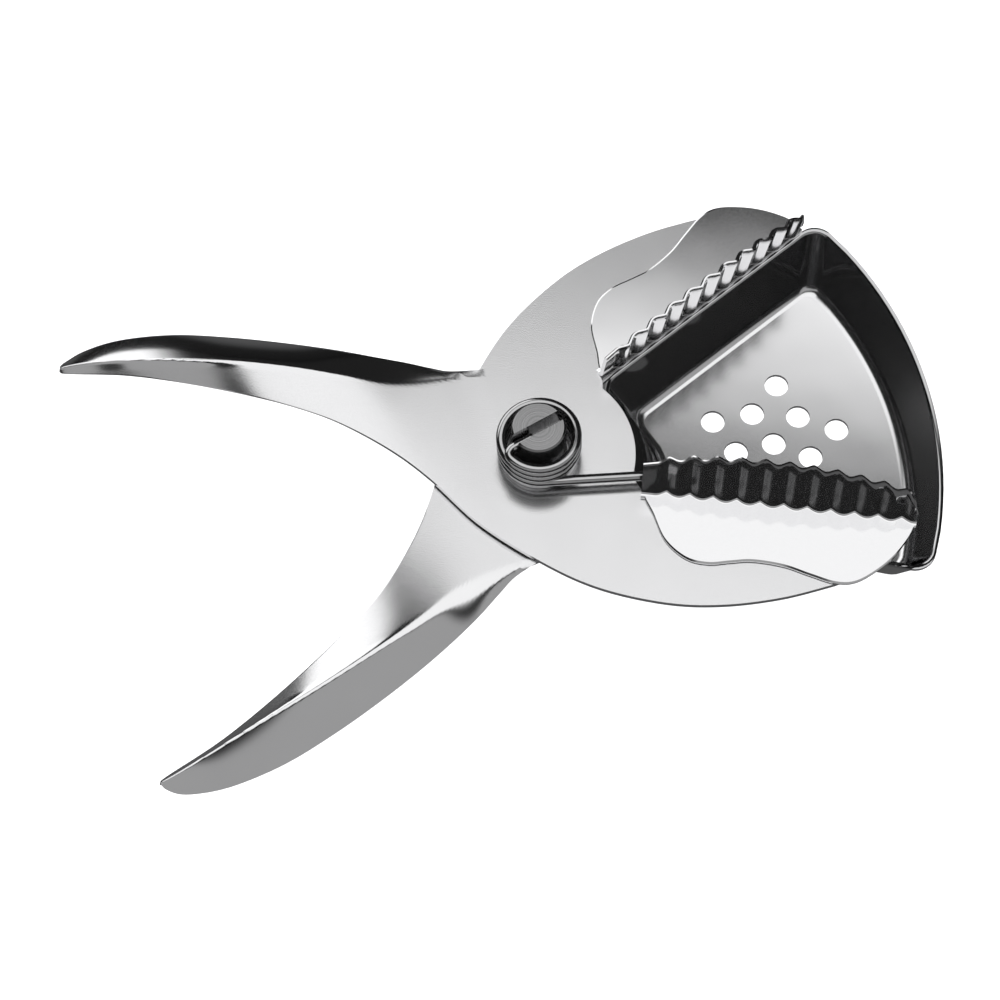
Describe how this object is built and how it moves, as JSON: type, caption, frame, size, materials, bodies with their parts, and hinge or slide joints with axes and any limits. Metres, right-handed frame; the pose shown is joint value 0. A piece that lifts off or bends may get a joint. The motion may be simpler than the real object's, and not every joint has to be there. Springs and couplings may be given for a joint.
{
  "type": "citrus squeezer",
  "caption": "Hand-held lemon wedge squeezer: two sprung plier handles press fluted jaw lips together over a drilled strainer pan.",
  "frame": {"origin": "centre of the base of the bounding box, in the plane of the strainer pan's underside", "axes": "+X along the bisector of the open levers from the handles to the jaws, +Z out of the front lever's face along the pivot axis, +Y towards the fixed jaw that carries the pan"},
  "size_m": [0.1564, 0.0916, 0.0318],
  "materials": {
    "satin_steel": "satin pressed sheet",
    "polished_steel": "mirror polished sheet",
    "turned_steel": "turned and polished",
    "spring_wire": "drawn bright wire"
  },
  "bodies": {
    "pan_side": {"rear_lever": "satin_steel", "rear_presser": "polished_steel", "strainer_pan": "polished_steel", "pivot_stud": "turned_steel", "spring_collar": "turned_steel", "pivot_washer": "turned_steel", "rear_washer": "turned_steel", "pivot_nut": "turned_steel", "torsion_spring": "spring_wire"},
    "moving_side": {"front_lever": "satin_steel", "front_presser": "polished_steel"}
  },
  "joints": [
    {"name": "squeeze", "type": "hinge", "parent": "pan_side", "child": "moving_side", "pos_m": [0.00383, 0, 0.0178], "axis": [0, 0, 1], "range_deg": [0, 50], "stiffness_Nm_per_rad": 0.25, "springref_deg": -34.38, "deforming": ["torsion_spring"]}
  ]
}
